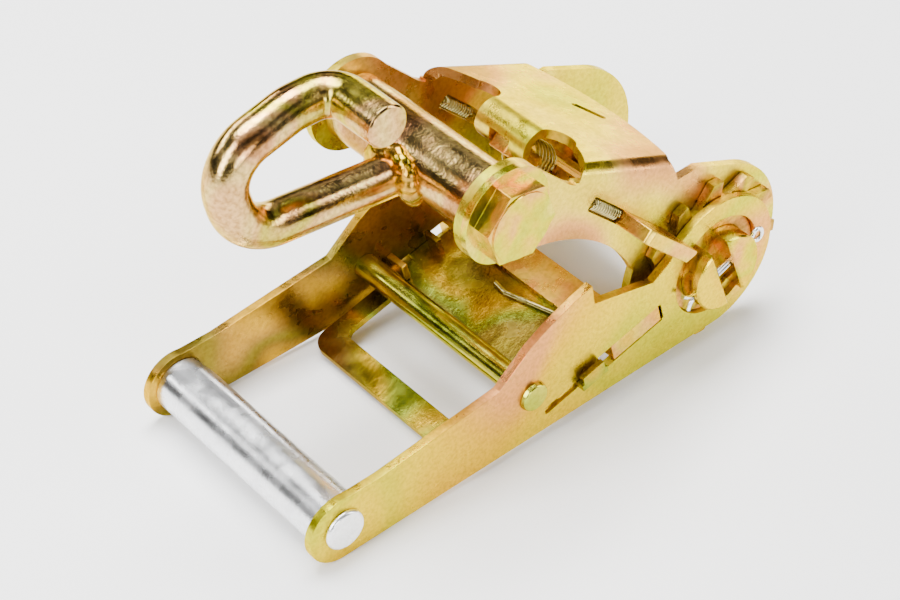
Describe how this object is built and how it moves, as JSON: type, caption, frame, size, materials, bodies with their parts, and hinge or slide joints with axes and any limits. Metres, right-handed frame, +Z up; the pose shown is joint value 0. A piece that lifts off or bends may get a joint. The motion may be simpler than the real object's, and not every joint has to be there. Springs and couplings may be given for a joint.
{
  "type": "webbing ratchet tensioner",
  "caption": "Heavy ratchet tensioner for wide webbing, with a folding handle, a slotted mandrel, two spring pawls and a swivelling round-bar hook.",
  "frame": {"origin": "centre of the mandrel, on its turning axis and half way between the side plates", "axes": "+Y along the mandrel to the far side, +Z up, -X towards the grip and the hook"},
  "size_m": [0.1664, 0.083, 0.1158],
  "materials": {
    "yellow_zinc_frame": "satin",
    "yellow_zinc_handle": "satin",
    "yellow_zinc_bolt": "polished",
    "yellow_zinc_hook": "polished",
    "yellow_zinc_mandrel": "polished",
    "yellow_zinc_wheel": "satin",
    "yellow_zinc_rod": "polished",
    "yellow_zinc_pawl": "satin",
    "yellow_zinc_plate": "satin",
    "bright_zinc": "brushed",
    "spring_steel": "satin",
    "weld": "rough"
  },
  "bodies": {
    "frame": {"base_frame": "yellow_zinc_frame", "end_bolt": "yellow_zinc_bolt", "end_nut": "yellow_zinc_bolt", "lock_spring": "spring_steel", "slot_springs": "spring_steel"},
    "hook": {"hook_tube": "yellow_zinc_hook", "hook_bar": "yellow_zinc_hook", "hook_weld": "weld"},
    "mandrel": {"mandrel_half_upper": "yellow_zinc_mandrel", "mandrel_half_lower": "yellow_zinc_mandrel", "ratchet_wheel_near": "yellow_zinc_wheel", "ratchet_wheel_far": "yellow_zinc_wheel", "bearing_collar_near": "yellow_zinc_wheel", "bearing_collar_far": "yellow_zinc_wheel", "split_pin_near": "spring_steel", "split_pin_far": "spring_steel"},
    "handle": {"handle_plate_near": "yellow_zinc_handle", "handle_plate_far": "yellow_zinc_handle", "grip_tube": "bright_zinc", "grip_pin": "bright_zinc", "cross_rod": "yellow_zinc_rod", "spring_lugs": "yellow_zinc_handle", "drive_springs": "spring_steel"},
    "lock_pawl": {"lock_pawl": "yellow_zinc_pawl"},
    "drive_pawl": {"drive_pawl": "yellow_zinc_pawl", "pawl_rivets": "bright_zinc", "pull_plate": "yellow_zinc_plate", "spring_wire": "spring_steel"}
  },
  "joints": [
    {"name": "hook_swing", "type": "hinge", "parent": "frame", "child": "hook", "pos_m": [-0.07419, 0, 0.05062], "axis": [0, 1, 0], "range_deg": [-20, 100]},
    {"name": "mandrel_turn", "type": "hinge", "parent": "frame", "child": "mandrel", "pos_m": [0, 0, 0], "axis": [0, 1, 0], "continuous": true},
    {"name": "handle_swing", "type": "hinge", "parent": "frame", "child": "handle", "pos_m": [0, 0, 0], "axis": [0, 1, 0], "range_deg": [-140, 15]},
    {"name": "lock_pawl_slide", "type": "slide", "parent": "frame", "child": "lock_pawl", "axis": [-0.7526, 0, 0.6584], "range_m": [0, 0.0045], "stiffness_N_per_m": 2500, "springref_m": -0.002},
    {"name": "drive_pawl_slide", "type": "slide", "parent": "handle", "child": "drive_pawl", "axis": [-0.9587, 0, -0.2843], "range_m": [0, 0.005], "stiffness_N_per_m": 1500, "springref_m": -0.002}
  ]
}
